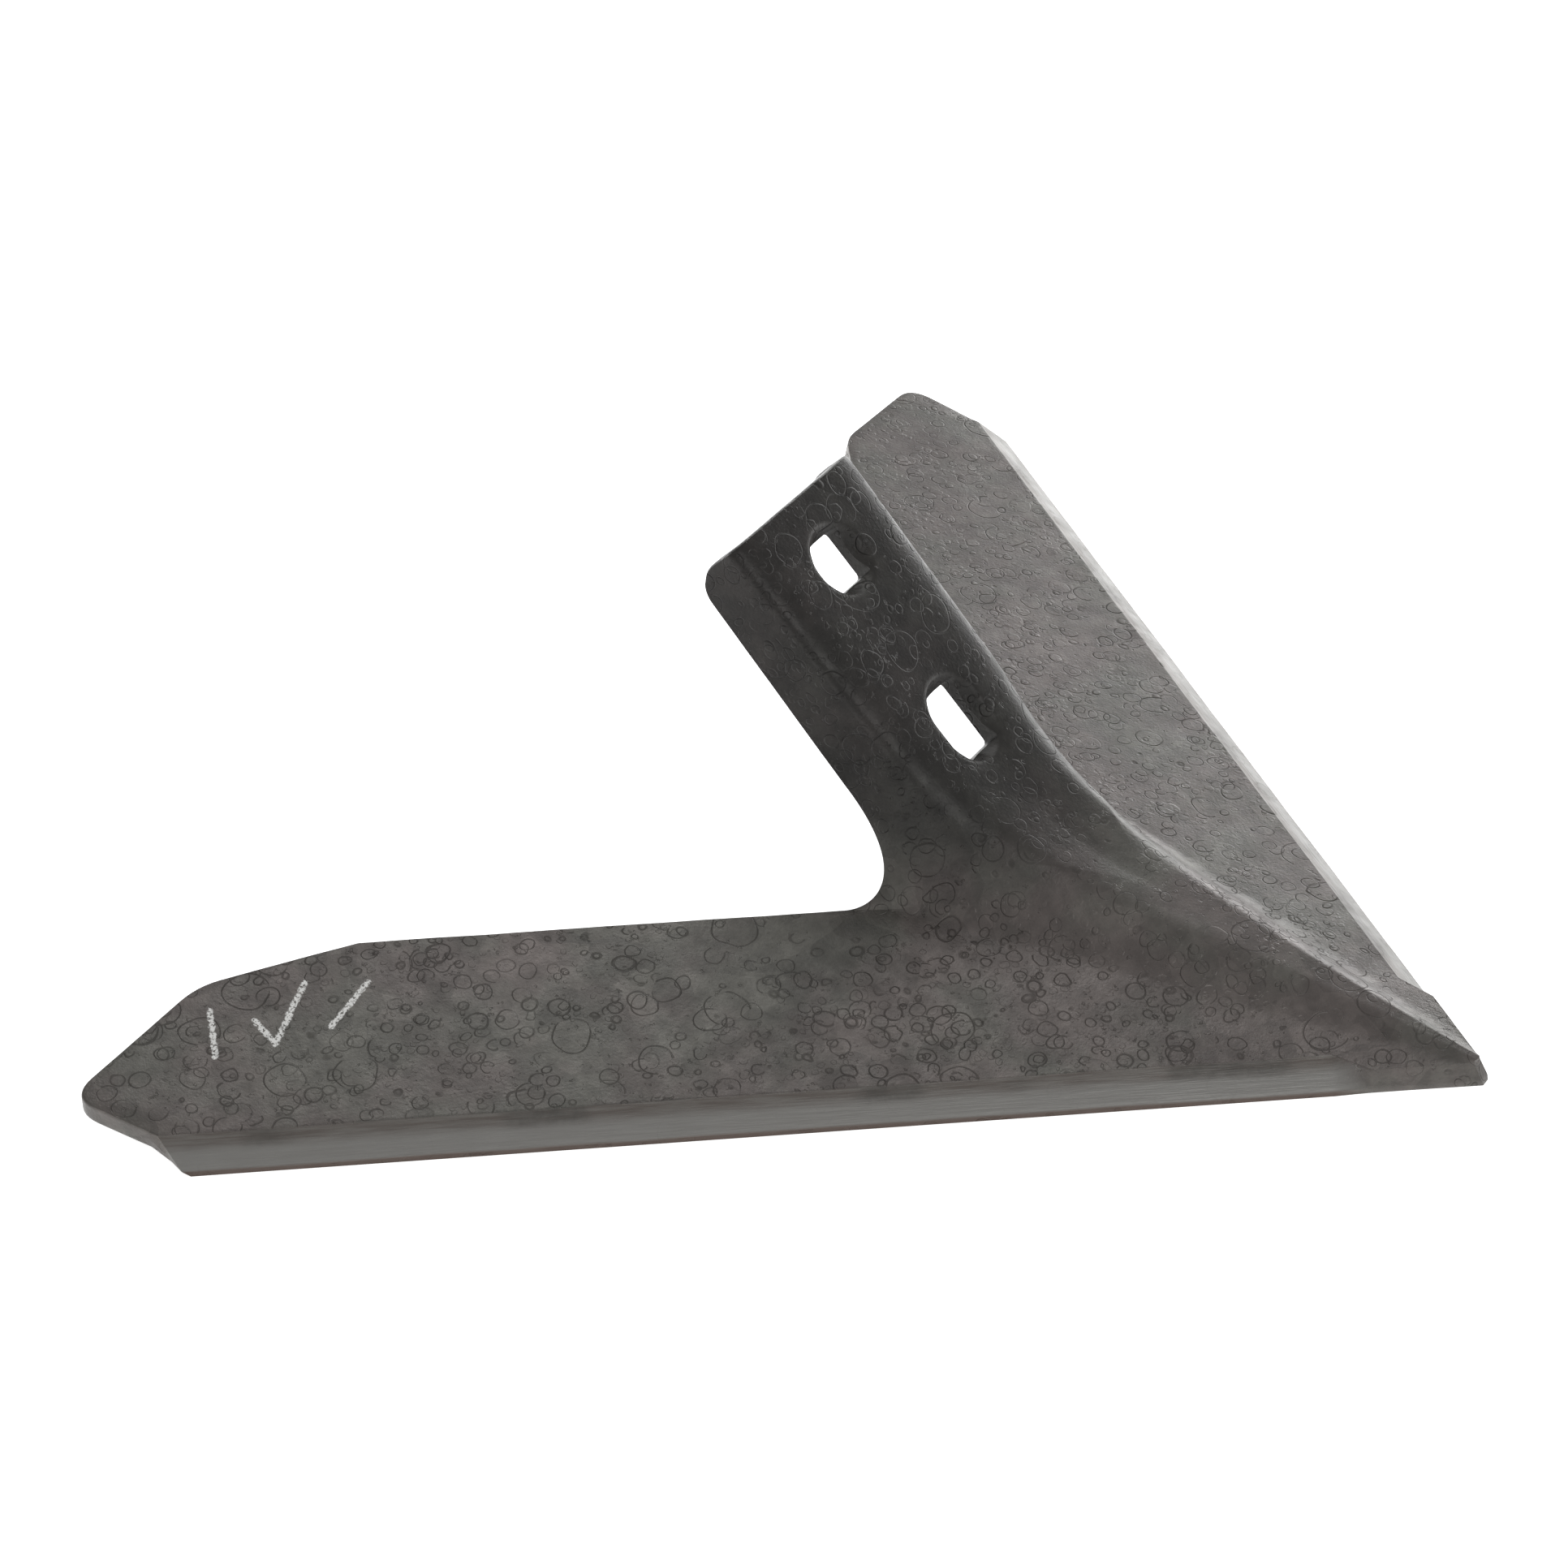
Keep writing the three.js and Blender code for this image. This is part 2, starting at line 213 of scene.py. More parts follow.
def tail_outline():
    """Points round the tail, with its two corners rounded."""
    bevel_end = Vector((tail_bevel_end, bevel_width))
    tip_in = tail_tip + (bevel_end - tail_tip).normalized() * tip_round
    tip_out = tail_tip + (tail_shoulder - tail_tip).normalized() * tip_round
    shoulder_in = tail_shoulder + (tail_tip - tail_shoulder).normalized() * shoulder_round
    shoulder_out = tail_shoulder + (rear_corner - tail_shoulder).normalized() * shoulder_round
    points = []

    def line(a, b, count):
        points.extend(a.lerp(b, (k + 1) / count) for k in range(count))

    def bend(a, corner, b, count):
        for k in range(count):
            t = (k + 1) / count
            points.append(a.lerp(corner, t).lerp(corner.lerp(b, t), t))

    line(bevel_end, tip_in, 8)
    bend(tip_in, tail_tip, tip_out, 10)
    line(tip_out, shoulder_in, 14)
    bend(shoulder_in, tail_shoulder, shoulder_out, 6)
    line(shoulder_out, rear_corner, 12)
    return points


# %% Rows through the notch and up the neck
def flange_depth(up):
    return mix(flange_low, flange_high, (up - flange_start) / (neck_length - flange_start))


def neck_row(up, inset=0.0):
    centre = on_neck(up, 0)
    face = on_neck(up, face_half(-centre.x))
    rim = on_neck(up, flange_half, flange_depth(up))
    foot = face.lerp(rim, 0.5)
    return {"points": (centre, face, foot, rim), "edge": None, "under": None, "ground": 0.0, "inset": inset}


def fillet_row(t, first, last):
    start, end = first["points"], last["points"]
    start_x = mix(start[0].x, end[0].x, t)
    centre = Vector((start_x, 0, face_height(start_x)))
    face_x = mix(start[1].x, end[1].x, t)
    face = Vector((face_x, mix(start[1].y, end[1].y, t), face_height(face_x)))
    a, b = start[3], start[3] - along_edge * notch_in
    c, d = end[3] - up_neck * notch_down, end[3]
    rim = a * (1 - t) ** 3 + b * 3 * t * (1 - t) ** 2 + c * 3 * t * t * (1 - t) + d * t**3
    low, high = start[2], end[2]
    hollow = Vector((low.x, mix(low.y, high.y, hollow_across), mix(low.z, high.z, hollow_up)))
    foot = low.lerp(hollow, t).lerp(hollow.lerp(high, t), t)
    return {"points": (centre, face, foot, rim), "edge": None, "under": None, "ground": 0.0}


nose_steps = (0, 0.03, 0.1, 0.2, 0.35, 0.5, 0.65, 0.8, 0.92, 1, 1.05, 1.3, 1.6, 1.9, 2)
rows = [cutting_edge_row(t) for t in nose_steps]
rows += [cutting_edge_row(2 + 10 * (k + 1) / tail_rows) for k in range(tail_rows)]
outline = tail_outline()
for k, p in enumerate(outline):
    start_x = mix(from_centre["tail"], from_centre["corner"], (k + 1) / len(outline))
    rows.append(plain_row(start_x, p.x, p.y))
for k in range(rear_rows):
    t = (k + 1) / rear_rows
    start_x = mix(from_centre["corner"], from_centre["end"], t)
    rows.append(plain_row(start_x, mix(rear_corner.x, rear_edge_end, t), rear_corner.y))
first_fillet, last_fillet = rows[-1], neck_row(flange_start)
rows += [fillet_row(k / notch_rows, first_fillet, last_fillet) for k in range(1, notch_rows)]
neck_top = neck_length - 1.2  # the end's rounding starts here
rows += [neck_row(mix(flange_start, neck_top, k / neck_rows)) for k in range(neck_rows + 1)]
rows += [neck_row(neck_length - 0.35, 0.25), neck_row(neck_length, 0.9)]
print(len(rows), "rows on the left half")

# %% [markdown]
# ## Columns, thickness and rounded edges
# Each row's straight pieces are joined by rounded bends, because a press can't make a sharp crease in 6 mm
# plate. The underside is the top moved in by the plate's thickness along the normals, and the corners of the
# rim get a small radius, which is what catches the light on real steel.

# %% Columns of the top skin
face_count, bend_count, side_count, foot_count, wing_count = 5, 10, 6, 8, 26


def skin_line(points):
    centre, face, foot, rim = points

    def toward(a, b, distance):
        return a.lerp(b, min(0.46, distance / max(1e-6, (a - b).length)))

    face_in, face_out = toward(face, centre, face_bend), toward(face, foot, face_bend)
    foot_in, foot_out = toward(foot, face, foot_bend), toward(foot, rim, foot_bend)
    line = [centre.lerp(face_in, k / face_count) for k in range(face_count)]
    for k in range(bend_count):
        t = k / bend_count
        line.append(face_in.lerp(face, t).lerp(face.lerp(face_out, t), t))
    line += [face_out.lerp(foot_in, k / side_count) for k in range(side_count)]
    for k in range(foot_count):
        t = k / foot_count
        line.append(foot_in.lerp(foot, t).lerp(foot.lerp(foot_out, t), t))
    line += [foot_out.lerp(rim, k / wing_count) for k in range(wing_count)]
    return line + [rim.copy()]


top = [skin_line(row["points"]) for row in rows]
last_row, last_column = len(top) - 1, len(top[0]) - 1


def top_point(i, j):
    p = top[min(max(i, 0), last_row)][min(abs(j), last_column)]
    return Vector((p.x, -p.y, p.z)) if j < 0 else p


def top_normal(i, j):
    across = top_point(i, min(j + 1, last_column)) - top_point(i, j - 1)
    along = top_point(i + 1, j) - top_point(i - 1, j)
    square = across.cross(along)
    normal = square.normalized() if square.length > 1e-3 else out_of_wing.copy()
    at_nose = min(1.0, max(0.0, (top_point(i, 0).x + 12) / 6))
    return normal.lerp(Vector((0, 0, 1)), at_nose).normalized()


normals = [[top_normal(i, j) for j in range(last_column + 1)] for i in range(last_row + 1)]


def eased(i, j):
    """A normal averaged with its neighbours, which keeps the inner skin smooth where the plate bends hard."""
    total = normals[i][j] * 2
    for di, dj in ((1, 0), (-1, 0), (0, 1), (0, -1)):
        near = normals[min(max(i + di, 0), last_row)][min(abs(j + dj), last_column)]
        total = total + near
    if j == 0:
        total.y = 0
    return total.normalized()


for _ in range(2):
    normals = [[eased(i, j) for j in range(last_column + 1)] for i in range(last_row + 1)]
print("top skin:", (last_row + 1) * (last_column + 1), "points on the left half")


# %% Rings right round the plate
def rounded_corner(before, corner, after, radius, count):
    nearest = 1e-6
    a = corner.lerp(before, min(0.45, radius / max(nearest, (before - corner).length)))
    b = corner.lerp(after, min(0.45, radius / max(nearest, (after - corner).length)))
    spots = []
    for k in range(count):
        t = k / (count - 1)
        spots.append(a.lerp(corner, t).lerp(corner.lerp(b, t), t))
    return spots


def half_ring(i):
    """Points from the centreline over the top to the rim and back underneath, with how far each is ground."""
    row, inset = rows[i], rows[i].get("inset", 0.0)
    over = [top[i][j] - normals[i][j] * inset for j in range(last_column + 1)]
    below = [top[i][j] - normals[i][j] * (plate - inset) for j in range(last_column + 1)]
    under = row["under"] or below[-1]
    edge = row["edge"] or over[-1].lerp(under, 0.5)
    ground = row["ground"]
    ring = [(p, 0.0, 0.0) for p in over[:-1]]
    crest = rounded_corner(over[-2], over[-1], edge, mix(0.9, 0.35, ground), 4)
    ring += [(p, ground * k / 3, 0.0) for k, p in enumerate(crest)]
    ring += [(crest[-1].lerp(edge, t), ground, 0.0) for t in (0.2, 0.4, 0.6, 0.8)]
    lip = rounded_corner(crest[-1], edge, under, 0.35, 3)
    ring += [(p, ground, ground * k / 2) for k, p in enumerate(lip)]
    sole = rounded_corner(edge, under, below[-2], mix(0.9, 0.3, ground), 4)
    ring += [(p, 0.0, ground) for p in sole]
    ring += [(p, 0.0, 0.0) for p in below[last_column - 1 :: -2]]
    return ring


half_rings = [half_ring(i) for i in range(last_row + 1)]
ring_count = 2 * len(half_rings[0]) - 2
print("each ring has", ring_count, "points")

# %% [markdown]
# ## The mesh
# A flat grid operator gives the faces, and each of its corners is then carried to its place on the skin, as a
# sheet is pressed over a former. Its two long sides meet on the underside, and the two ends are filled. Layers
# of numbers on the corners remember which steel was ground and which is the edge flat, so the finish can
# follow the real surface.


# %% Press the grid into shape
def ring_point(i, n):
    ring = half_rings[i]
    if n < len(ring):
        return ring[n]
    p, ground, flat = ring[ring_count - n]
    return Vector((p.x, -p.y, p.z)), ground, flat


def rounded_end(p):
    """Rounds the rear corner of a flange at the neck's end by easing a square corner into a quarter circle."""
    from_root = p - Vector((root_x, 0, root_z))
    up, depth = from_root.dot(up_neck), -from_root.dot(out_of_neck)
    centre_up = neck_length - end_round
    centre_depth = flange_depth(centre_up) - end_round
    u, d = up - centre_up, depth - centre_depth
    if u <= 0 or d <= 0:
        return p
    keep = max(u, d) / math.hypot(u, d)
    return p + up_neck * (u * (keep - 1)) - out_of_neck * (d * (keep - 1))


bm = bmesh.new()
bmesh.ops.create_grid(bm, x_segments=last_row, y_segments=ring_count, size=1)
ground_layer = bm.verts.layers.float.new("ground")
flat_layer = bm.verts.layers.float.new("flat")
for v in bm.verts:
    i = round((v.co.x + 1) / 2 * last_row)
    n = round((v.co.y + 1) / 2 * ring_count) % ring_count
    p, v[ground_layer], v[flat_layer] = ring_point(i, n)
    if i > last_row - 12:
        p = rounded_end(p)
    wander = noise.noise(p * 0.045) * 0.22 + noise.noise(p * 0.13) * 0.07
    keep_sole = min(1.0, max(0.0, p.z - 0.5))
    v.co = (p + to_frame) * MM + Vector((0, 0, wander * keep_sole * MM))
bmesh.ops.remove_doubles(bm, verts=bm.verts, dist=1e-7)
open_edges = [e for e in bm.edges if e.is_boundary]
bmesh.ops.triangle_fill(bm, edges=open_edges, use_beauty=True)
bmesh.ops.recalc_face_normals(bm, faces=bm.faces)
if bm.calc_volume(signed=True) < 0:
    bmesh.ops.reverse_faces(bm, faces=bm.faces)
still_open = sum(1 for e in bm.edges if not e.is_manifold)
print("skin:", len(bm.faces), "faces, open edges:", still_open, "volume cm3:", round(bm.calc_volume() * 1e6, 1))

blade_mesh = bpy.data.meshes.new("sweep_skin")
bm.to_mesh(blade_mesh)
bm.free()
blade = bpy.data.objects.new("sweep_skin", blade_mesh)
bpy.context.collection.objects.link(blade)

# %% [markdown]
# ## The bolt slots
# Each slot is a square throat, which stops a plow bolt's neck from turning, behind a round countersink for its
# head. Two cutters are modelled for each: a bevelled box, and a flaring dish whose wall rolls over at the top,
# so the cut edge comes out soft as on hot-punched steel. Boolean modifiers cut them out one at a time. Each
# cut prints the volume left and its open edges, because a cutter that isn't closed spoils the skin silently.


# %% Slot cutters
def place_on_neck(bm, up):
    turn = Matrix((Vector((0, 1, 0)), up_neck, out_of_neck)).transposed().to_4x4()
    turn.translation = on_neck(up, 0) + to_frame
    bmesh.ops.transform(bm, matrix=Matrix.Scale(MM, 4) @ turn, verts=bm.verts)


def cutter_object(name, bm):
    bmesh.ops.recalc_face_normals(bm, faces=bm.faces)
    mesh = bpy.data.meshes.new(name)
    bm.to_mesh(mesh)
    bm.free()
    obj = bpy.data.objects.new(name, mesh)
    bpy.context.collection.objects.link(obj)
    return obj


def throat_cutter(up, length):
    bm = bmesh.new()
    bmesh.ops.create_cube(bm, size=1)
    bmesh.ops.scale(bm, vec=(slot_width, length, 5 * plate), verts=bm.verts)
    upright = [e for e in bm.edges if abs(e.verts[0].co.z - e.verts[1].co.z) > plate]
    bmesh.ops.bevel(
        bm,
        geom=upright,
        offset=throat_corner,
        offset_type="OFFSET",
        affect="EDGES",
        segments=3,
        profile=0.5,
        material=-1,
    )
    place_on_neck(bm, up)
    return cutter_object("throat_cutter", bm)


def dish_cutter(up, length):
    """An obround dish, made wider ring by ring from its flat floor to above the neck's face."""
    half_run = (length - slot_width) / 2
    wall = [(-2.2, 7.9), (-0.8, 9.3), (-0.4, 9.8), (-0.15, 10.3), (-0.04, 10.9), (0.03, 11.8), (1.2, 16.0)]
    bm = bmesh.new()
    bmesh.ops.create_circle(bm, cap_ends=True, radius=dish_floor_radius, segments=56)
    for v in bm.verts:
        v.co.y += math.copysign(half_run, v.co.y)
        v.co.z = dish_floor_z
    cap = bm.faces[:]
    for ring, (z, radius) in enumerate(wall):
        inner = cap if ring else []
        made = bmesh.ops.extrude_face_region(bm, geom=cap)
        cap = [g for g in made["geom"] if isinstance(g, bmesh.types.BMFace)]
        bmesh.ops.delete(bm, geom=[f for f in inner if f.is_valid], context="FACES_ONLY")
        for v in {v for f in cap for v in f.verts}:
            middle = math.copysign(half_run, v.co.y)
            spoke = Vector((v.co.x, v.co.y - middle, 0)).normalized()
            v.co = Vector((spoke.x * radius, middle + spoke.y * radius, z))
    place_on_neck(bm, up)
    return cutter_object("dish_cutter", bm)


def cut_away(cutter):
    cut = blade.modifiers.new(cutter.name, "BOOLEAN")
    cut.operation, cut.solver, cut.object = "DIFFERENCE", "EXACT", cutter
    bpy.context.view_layer.update()
    evaluated = blade.evaluated_get(bpy.context.evaluated_depsgraph_get())
    cut_mesh = bpy.data.meshes.new_from_object(evaluated)
    blade.modifiers.clear()
    blade.data = cut_mesh
    measured = bmesh.new()
    measured.from_mesh(cut_mesh)
    open_count = sum(1 for e in measured.edges if not e.is_manifold)
    print(cutter.name, "leaves", round(measured.calc_volume() * 1e6, 3), "cm3, open edges:", open_count)
    measured.free()
    bpy.data.objects.remove(cutter)


for up, length in slots:
    cut_away(dish_cutter(up, length))
    cut_away(throat_cutter(up, length))
blade.data.shade_smooth()
blade.data.set_sharp_from_angle(angle=math.radians(38))
print("with its slots cut the skin has", len(blade.data.polygons), "faces")

# %% [markdown]
# ## The finish
# Heat treatment leaves a dark, thin scale on the steel. It flakes in rounded plates a few millimetres across,
# so its surface is covered with fine rings, part rings and shallow steps. One node material makes all of it
# from object coordinates: five sizes of flakes from warped Voronoi cells, soft patches of grey and brown,
# and a ground finish where the bevel was cut.


# %% Node helpers
class Finish:
    """A material whose nodes are added one at a time; each call returns the new node's first output."""

    def __init__(self, name):
        self.material = bpy.data.materials.new(name)
        self.material.use_nodes = True
        self.tree = self.material.node_tree
        self.shader = self.tree.nodes["Principled BSDF"]

    def plug(self, source, socket):
        if isinstance(source, bpy.types.NodeSocket):
            self.tree.links.new(source, socket)
        elif socket.type == "RGBA" and len(source) == 3:
            socket.default_value = (*source, 1)
        else:
            socket.default_value = source

    def node(self, kind, inputs=None, **settings):
        made = self.tree.nodes.new(kind)
        for key, value in settings.items():
            setattr(made, key, value)
        for key, value in (inputs or {}).items():
            self.plug(value, made.inputs[key])
        return made

    def math(self, operation, a, b=0.0, clamp=False):
        made = self.node("ShaderNodeMath", operation=operation, use_clamp=clamp)
        self.plug(a, made.inputs[0])
        self.plug(b, made.inputs[1])
        return made.outputs[0]

    def vector(self, operation, a, b=(0.0, 0.0, 0.0)):
        made = self.node("ShaderNodeVectorMath", operation=operation)
        self.plug(a, made.inputs[0])
        self.plug(b, made.inputs[1])
        return made.outputs["Value"] if operation in ("DOT_PRODUCT", "LENGTH") else made.outputs[0]

    def scaled(self, a, factor):
        made = self.node("ShaderNodeVectorMath", operation="SCALE")
        self.plug(a, made.inputs[0])
        self.plug(factor, made.inputs["Scale"])
        return made.outputs[0]

    def ramp(self, value, low, high, to_low=0.0, to_high=1.0, smooth=True):
        kind = "SMOOTHSTEP" if smooth else "LINEAR"
        made = self.node("ShaderNodeMapRange", interpolation_type=kind)
        ranges = {"From Min": low, "From Max": high, "To Min": to_low, "To Max": to_high}
        for key, v in {"Value": value, **ranges}.items():
            self.plug(v, made.inputs[key])
        return made.outputs[0]

    def blend(self, factor, a, b, kind="MIX"):
        made = self.node("ShaderNodeMix", data_type="RGBA", blend_type=kind)
        self.plug(factor, made.inputs[0])
        self.plug(a, made.inputs[6])
        self.plug(b, made.inputs[7])
        return made.outputs[2]

    def grey(self, value):
        return self.node("ShaderNodeCombineColor", {"Red": value, "Green": value, "Blue": value}).outputs[0]

    def noise(self, place, size_mm, detail=3.0, roughness=0.5, output="Fac"):
        inputs = {"Vector": place, "Scale": 1000 / size_mm, "Detail": detail, "Roughness": roughness}
        return self.node("ShaderNodeTexNoise", inputs).outputs[output]


steel = Finish("scaled_forged_steel")
place = steel.node("ShaderNodeTexCoord").outputs["Object"]
apart = steel.node("ShaderNodeSeparateXYZ", {"Vector": place})
x_at, y_at, z_at = apart.outputs
ground_mask = steel.node("ShaderNodeAttribute", attribute_name="ground").outputs["Fac"]
flat_mask = steel.node("ShaderNodeAttribute", attribute_name="flat").outputs["Fac"]


# %% Flakes of scale
def flakes(size_mm, start, line, bend_by=0.2):
    """Rounded flakes of about one size: their outlines, the steps between them, and a tone for each."""
    shifted = steel.vector("ADD", place, (start, start * 0.7, start * 1.3))
    wobble = steel.noise(shifted, size_mm * 1.5, 2.0, 0.55, "Color")
    wobble = steel.scaled(steel.vector("SUBTRACT", wobble, (0.5, 0.5, 0.5)), bend_by * size_mm * MM * 2.4)
    warped = steel.vector("ADD", shifted, wobble)
    cells = steel.node("ShaderNodeTexVoronoi", {"Vector": warped, "Scale": 1000 / size_mm, "Randomness": 1.0})
    tones = steel.node("ShaderNodeSeparateColor", {"Color": cells.outputs["Color"]}).outputs
    radius = steel.ramp(tones[0], 0.0, 1.0, 0.14, 0.46, smooth=False)
    beyond = steel.math("SUBTRACT", cells.outputs["Distance"], radius)
    outline = steel.ramp(steel.math("ABSOLUTE", beyond), 0.0, line, 1.0, 0.0)
    inside = steel.ramp(beyond, -0.5 * line, 0.8 * line, 1.0, 0.0)
    present = steel.ramp(tones[1], 0.25, 0.4)
    outline = steel.math("MULTIPLY", outline, present)
    inside = steel.math("MULTIPLY", inside, present)
    return outline, inside, tones[2]


large = flakes(13.0, 0.31, 0.022)
middle = flakes(8.0, 1.73, 0.032)
small = flakes(4.6, 2.91, 0.05, 0.3)
tiny = flakes(2.4, 4.17, 0.09, 0.4)
over = flakes(6.0, 5.37, 0.04)
thin = steel.noise(place, 9.0, 2.0)
broken = steel.ramp(thin, 0.36, 0.5)
where_small = steel.ramp(steel.noise(place, 26.0, 2.0), 0.42, 0.58)
lines = steel.math("MAXIMUM", large[0], steel.math("MULTIPLY", middle[0], broken))
lines = steel.math("MAXIMUM", lines, steel.math("MULTIPLY", over[0], 0.8))
lines = steel.math("MAXIMUM", lines, steel.math("MULTIPLY", small[0], where_small))
print("flake nodes so far:", len(steel.tree.nodes))

# %% Height of the surface
height = steel.math("MULTIPLY", large[1], steel.math("SUBTRACT", large[2], 0.35))
height = steel.math("ADD", height, steel.math("MULTIPLY", middle[1], steel.math("SUBTRACT", middle[2], 0.3)))
height = steel.math("ADD", height, steel.math("MULTIPLY", over[1], steel.math("SUBTRACT", over[2], 0.2)))
fine = steel.math("MULTIPLY", small[1], where_small)
height = steel.math("ADD", height, steel.math("MULTIPLY", fine, 0.6))
height = steel.math("ADD", height, steel.math("MULTIPLY", tiny[1], steel.math("MULTIPLY", where_small, 0.25)))
height = steel.math("SUBTRACT", height, steel.math("MULTIPLY", lines, 0.45))
grain = steel.noise(place, 0.9, 4.0, 0.6)
height = steel.math("ADD", height, steel.math("MULTIPLY", grain, 0.35))
pits = steel.ramp(steel.noise(place, 2.2, 3.0, 0.6), 0.27, 0.36)
height = steel.math("ADD", height, steel.math("MULTIPLY", pits, 0.6))

# %% [markdown]
# ## Places on a wing
# Grinding runs along a cutting edge, and so do the marks that it leaves. Two node values say where a spot is
# on a wing, as the drawing does: how far along its cutting edge, and how far in from it.

# %% Ground streaks on the bevel
fold = steel.math("ABSOLUTE", y_at)
from_nose = steel.math("SUBTRACT", to_frame.x * MM, x_at)
run_y = steel.math("MULTIPLY", fold, math.sin(sweep))
run_x = steel.math("MULTIPLY", from_nose, math.cos(sweep))
off_y = steel.math("MULTIPLY", fold, math.cos(sweep))
off_x = steel.math("MULTIPLY", from_nose, math.sin(sweep))
edge_run = steel.math("ADD", run_x, run_y)
edge_off = steel.math("SUBTRACT", off_x, off_y)
squeezed = steel.math("MULTIPLY", edge_run, 0.06)
grind_place = steel.node("ShaderNodeCombineXYZ", {"X": squeezed, "Y": edge_off, "Z": z_at}).outputs[0]
streaks = steel.noise(grind_place, 0.9, 4.0, 0.6)
along_only = steel.node("ShaderNodeCombineXYZ", {"X": edge_run}).outputs[0]
heat_marks = steel.ramp(steel.noise(along_only, 42.0, 1.0), 0.50, 0.58)
heat_marks = steel.math("MULTIPLY", heat_marks, steel.ramp(edge_off, 0.0030, 0.0056))
speckle = steel.ramp(steel.noise(place, 3.0, 4.0, 0.6), 0.3, 0.7, 0.55, 1.0)
heat_marks = steel.math("MULTIPLY", heat_marks, speckle)

# %% Chalk on the right wing
in_mm = steel.scaled(steel.node("ShaderNodeCombineXYZ", {"X": edge_run, "Y": edge_off}).outputs[0], 1 / MM)


def stroke(start, finish):
    """How far a spot is from a straight chalk line, in millimetres on a wing."""
    start, finish = Vector((*start, 0)), Vector((*finish, 0))
    run = finish - start
    offset = steel.vector("SUBTRACT", in_mm, start)
    share = steel.math("DIVIDE", steel.vector("DOT_PRODUCT", offset, run), run.length_squared, clamp=True)
    return steel.vector("LENGTH", steel.vector("SUBTRACT", offset, steel.scaled(run, share)))


drawn = [((319, 31), (320, 46)), ((309, 42), (304, 34)), ((304, 34), (296, 53)), ((290, 38), (280, 52))]
chalk = stroke(*drawn[0])
for line in drawn[1:]:
    chalk = steel.math("MINIMUM", chalk, stroke(*line))
chalk = steel.math("ADD", chalk, steel.ramp(steel.noise(place, 1.6, 3.0, 0.7), 0.3, 0.7, -0.2, 0.35))
chalk = steel.ramp(chalk, 0.60, 1.05, 1.0, 0.0)
worn_off = steel.ramp(steel.noise(place, 0.7, 3.0, 0.7), 0.40, 0.5)
on_right = steel.math("LESS_THAN", y_at, 0.0)
on_top = steel.math("GREATER_THAN", steel.math("SUBTRACT", z_at, steel.math("MULTIPLY", edge_off, 0.2)), 0.003)
where_drawn = steel.math("MULTIPLY", on_right, on_top)
chalk = steel.math("MULTIPLY", steel.math("MULTIPLY", chalk, worn_off), where_drawn)

# %% Colour
patch = steel.ramp(steel.noise(place, 34.0, 3.0, 0.55), 0.38, 0.62)
scale_colour = steel.blend(patch, (0.094, 0.091, 0.080), (0.100, 0.086, 0.080))
flake_tone = steel.ramp(large[2], 0.0, 1.0, 0.86, 1.16, smooth=False)
tone = steel.math("MULTIPLY", flake_tone, steel.ramp(middle[2], 0.0, 1.0, 0.9, 1.1, smooth=False))
tone_colour = steel.grey(tone)
scale_colour = steel.blend(1.0, scale_colour, tone_colour, "MULTIPLY")
scale_colour = steel.blend(steel.math("MULTIPLY", lines, 0.36), scale_colour, (0.028, 0.024, 0.020))
mottle = steel.ramp(steel.noise(place, 5.0, 5.0, 0.65), 0.3, 0.75, 0.82, 1.15)
scale_colour = steel.blend(1.0, scale_colour, steel.grey(mottle), "MULTIPLY")
# Painted shade: the neck is painted much darker than the wings, more so the higher it rises, in place of the
# shade that falls on its forward-tilted face; a noise makes this painted shade a little uneven.
up_the_neck = steel.ramp(z_at, 0.020, 0.044)
painted_shade_breakup = steel.ramp(steel.noise(place, 12.0, 4.0, 0.6), 0.35, 0.65, 0.06, 0.22)
neck_painted_shade = steel.math("MULTIPLY", up_the_neck, steel.math("SUBTRACT", 1.0, painted_shade_breakup))
colour_with_neck_shade = steel.blend(neck_painted_shade, scale_colour, (0.009, 0.008, 0.007))
ground_colour = steel.blend(steel.ramp(streaks, 0.35, 0.68), (0.105, 0.090, 0.080), (0.150, 0.140, 0.128))
low_half = steel.ramp(edge_off, 0.0030, 0.0062, 1.0, 0.0)
ground_colour = steel.blend(steel.math("MULTIPLY", low_half, 0.8), ground_colour, (0.235, 0.232, 0.220))
ground_colour = steel.blend(steel.math("MULTIPLY", heat_marks, 0.6), ground_colour, (0.050, 0.048, 0.044))
colour = steel.blend(ground_mask, colour_with_neck_shade, ground_colour)
colour = steel.blend(steel.math("MULTIPLY", flat_mask, 0.85), colour, (0.060, 0.036, 0.026))
colour = steel.blend(chalk, colour, (0.80, 0.80, 0.78))

# %% Shine and relief
rough = steel.ramp(steel.noise(place, 7.0, 4.0, 0.6), 0.3, 0.7, 0.33, 0.47)
rough = steel.math("ADD", rough, steel.math("MULTIPLY", lines, 0.15))
rough = steel.math("MAXIMUM", rough, steel.math("MULTIPLY", chalk, 0.9))
steel.plug(colour, steel.shader.inputs["Base Color"])
steel.plug(rough, steel.shader.inputs["Roughness"])
steel.plug(steel.ramp(chalk, 0.0, 1.0, 0.35, 0.0), steel.shader.inputs["Metallic"])
steel.shader.inputs["Specular IOR Level"].default_value = 0.5
relief = steel.blend(ground_mask, height, steel.math("MULTIPLY", streaks, 0.6))
bump = steel.node("ShaderNodeBump", {"Height": relief, "Distance": 0.00034, "Strength": 1.0})
steel.plug(bump.outputs[0], steel.shader.inputs["Normal"])
blade.data.materials.clear()
blade.data.materials.append(steel.material)
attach(blade, "root")
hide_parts("sweep_blade")
print("the finish has", len(steel.tree.nodes), "nodes")

# %% [markdown]
# ## Floor, light and camera
# A plain pale floor and broad soft lights keep attention on the steel. The brightest light stands behind the
# object, because dark scale shows its relief only where it mirrors something bright at a low angle.

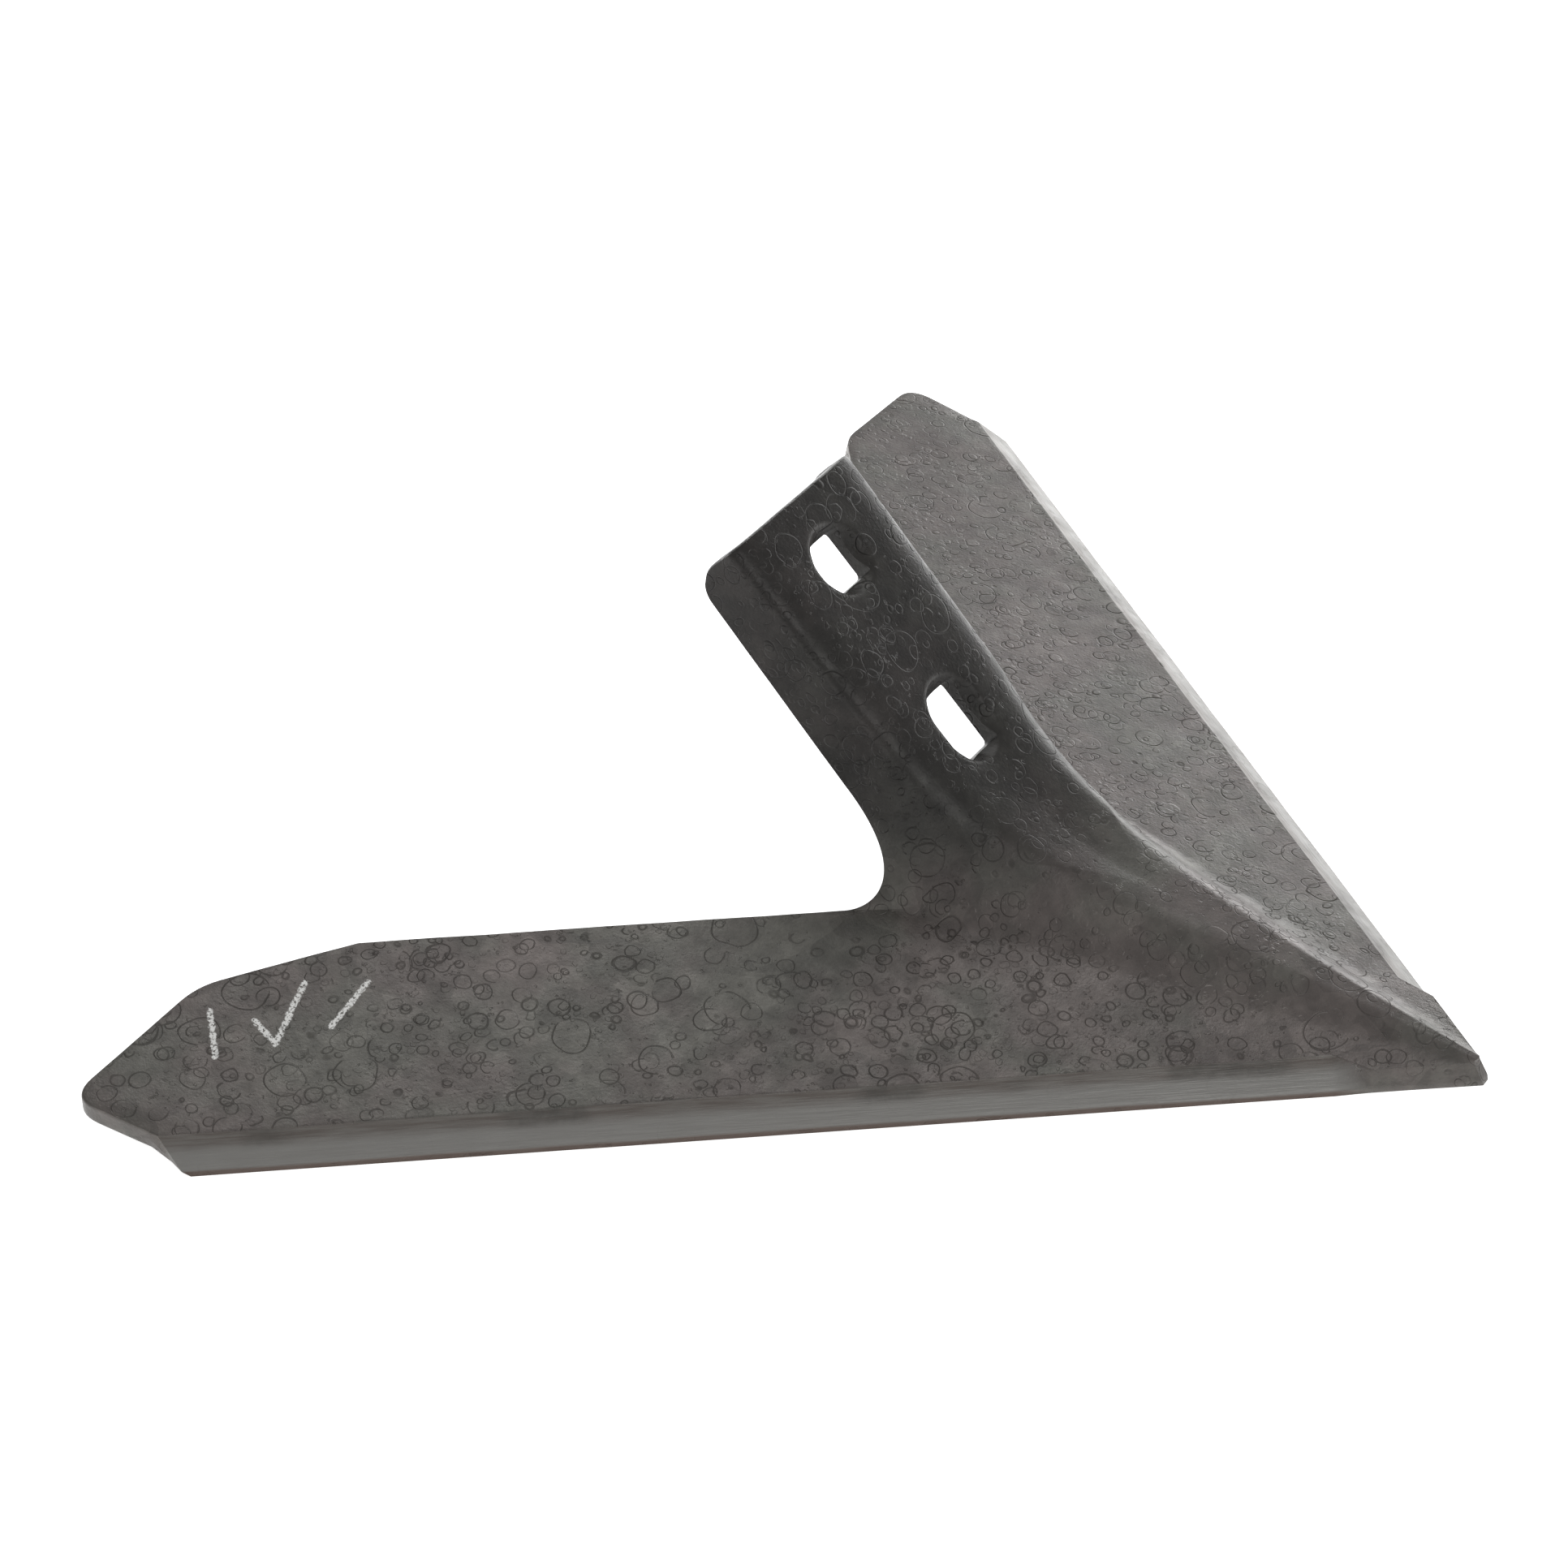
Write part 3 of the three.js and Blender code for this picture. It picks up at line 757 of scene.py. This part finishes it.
# %% Floor
bm = bmesh.new()
bmesh.ops.create_grid(bm, x_segments=1, y_segments=1, size=6)
floor_mesh = bpy.data.meshes.new("studio_floor")
bm.to_mesh(floor_mesh)
bm.free()
floor = bpy.data.objects.new("studio_floor", floor_mesh)
bpy.context.collection.objects.link(floor)
paper = Finish("pale_paper")
paper.shader.inputs["Base Color"].default_value = (0.93, 0.93, 0.93, 1)
paper.shader.inputs["Roughness"].default_value = 0.9
paper.shader.inputs["Specular IOR Level"].default_value = 0.1
paper.shader.inputs["Emission Color"].default_value = (1, 1, 1, 1)
floor_place = paper.node("ShaderNodeTexCoord").outputs["Object"]
floor_y = paper.node("ShaderNodeSeparateXYZ", {"Vector": floor_place}).outputs["Y"]
paper.plug(paper.ramp(floor_y, -0.1, 0.3, 0.8, 1.8), paper.shader.inputs["Emission Strength"])
floor.data.materials.append(paper.material)
floor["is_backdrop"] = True


# %% Lights
def soft_light(name, size, power, place_m, aim):
    data = bpy.data.lights.new(name, "AREA")
    data.shape, data.size, data.energy = "SQUARE", size, power
    lamp = bpy.data.objects.new(name, data)
    lamp.location = place_m
    lamp.rotation_euler = (Vector(aim) - Vector(place_m)).to_track_quat("-Z", "Y").to_euler()
    bpy.context.collection.objects.link(lamp)
    return lamp


aim = (0.0, 0.0, 0.03)
soft_light("back_light", 1.2, 18, (-0.2, 2.3, 0.2), aim)
soft_light("top_light", 1.2, 11, (-0.9, 1.2, 1.9), aim)
soft_light("right_light", 0.7, 6, (1.5, -0.7, 1.2), aim)
world = bpy.data.worlds.new("studio_air")
world.use_nodes = True
world.node_tree.nodes["Background"].inputs["Color"].default_value = (1, 1, 1, 1)
world.node_tree.nodes["Background"].inputs["Strength"].default_value = 0.5
bpy.context.scene.world = world
bpy.context.scene.view_settings.view_transform = "Standard"

# %% Camera
camera_data = bpy.data.cameras.new("camera")
camera_data.sensor_width, camera_data.lens = 36, 106.7
camera = bpy.data.objects.new("camera", camera_data)
azimuth, elevation = math.radians(32.07), math.radians(35.47)
back = Vector(
    (math.sin(azimuth) * math.cos(elevation), -math.cos(azimuth) * math.cos(elevation), math.sin(elevation))
)
camera.location = (0.47892, -0.86604, 0.74202)
camera.rotation_euler = (-back).to_track_quat("-Z", "Y").to_euler()
bpy.context.collection.objects.link(camera)
bpy.context.scene.camera = camera
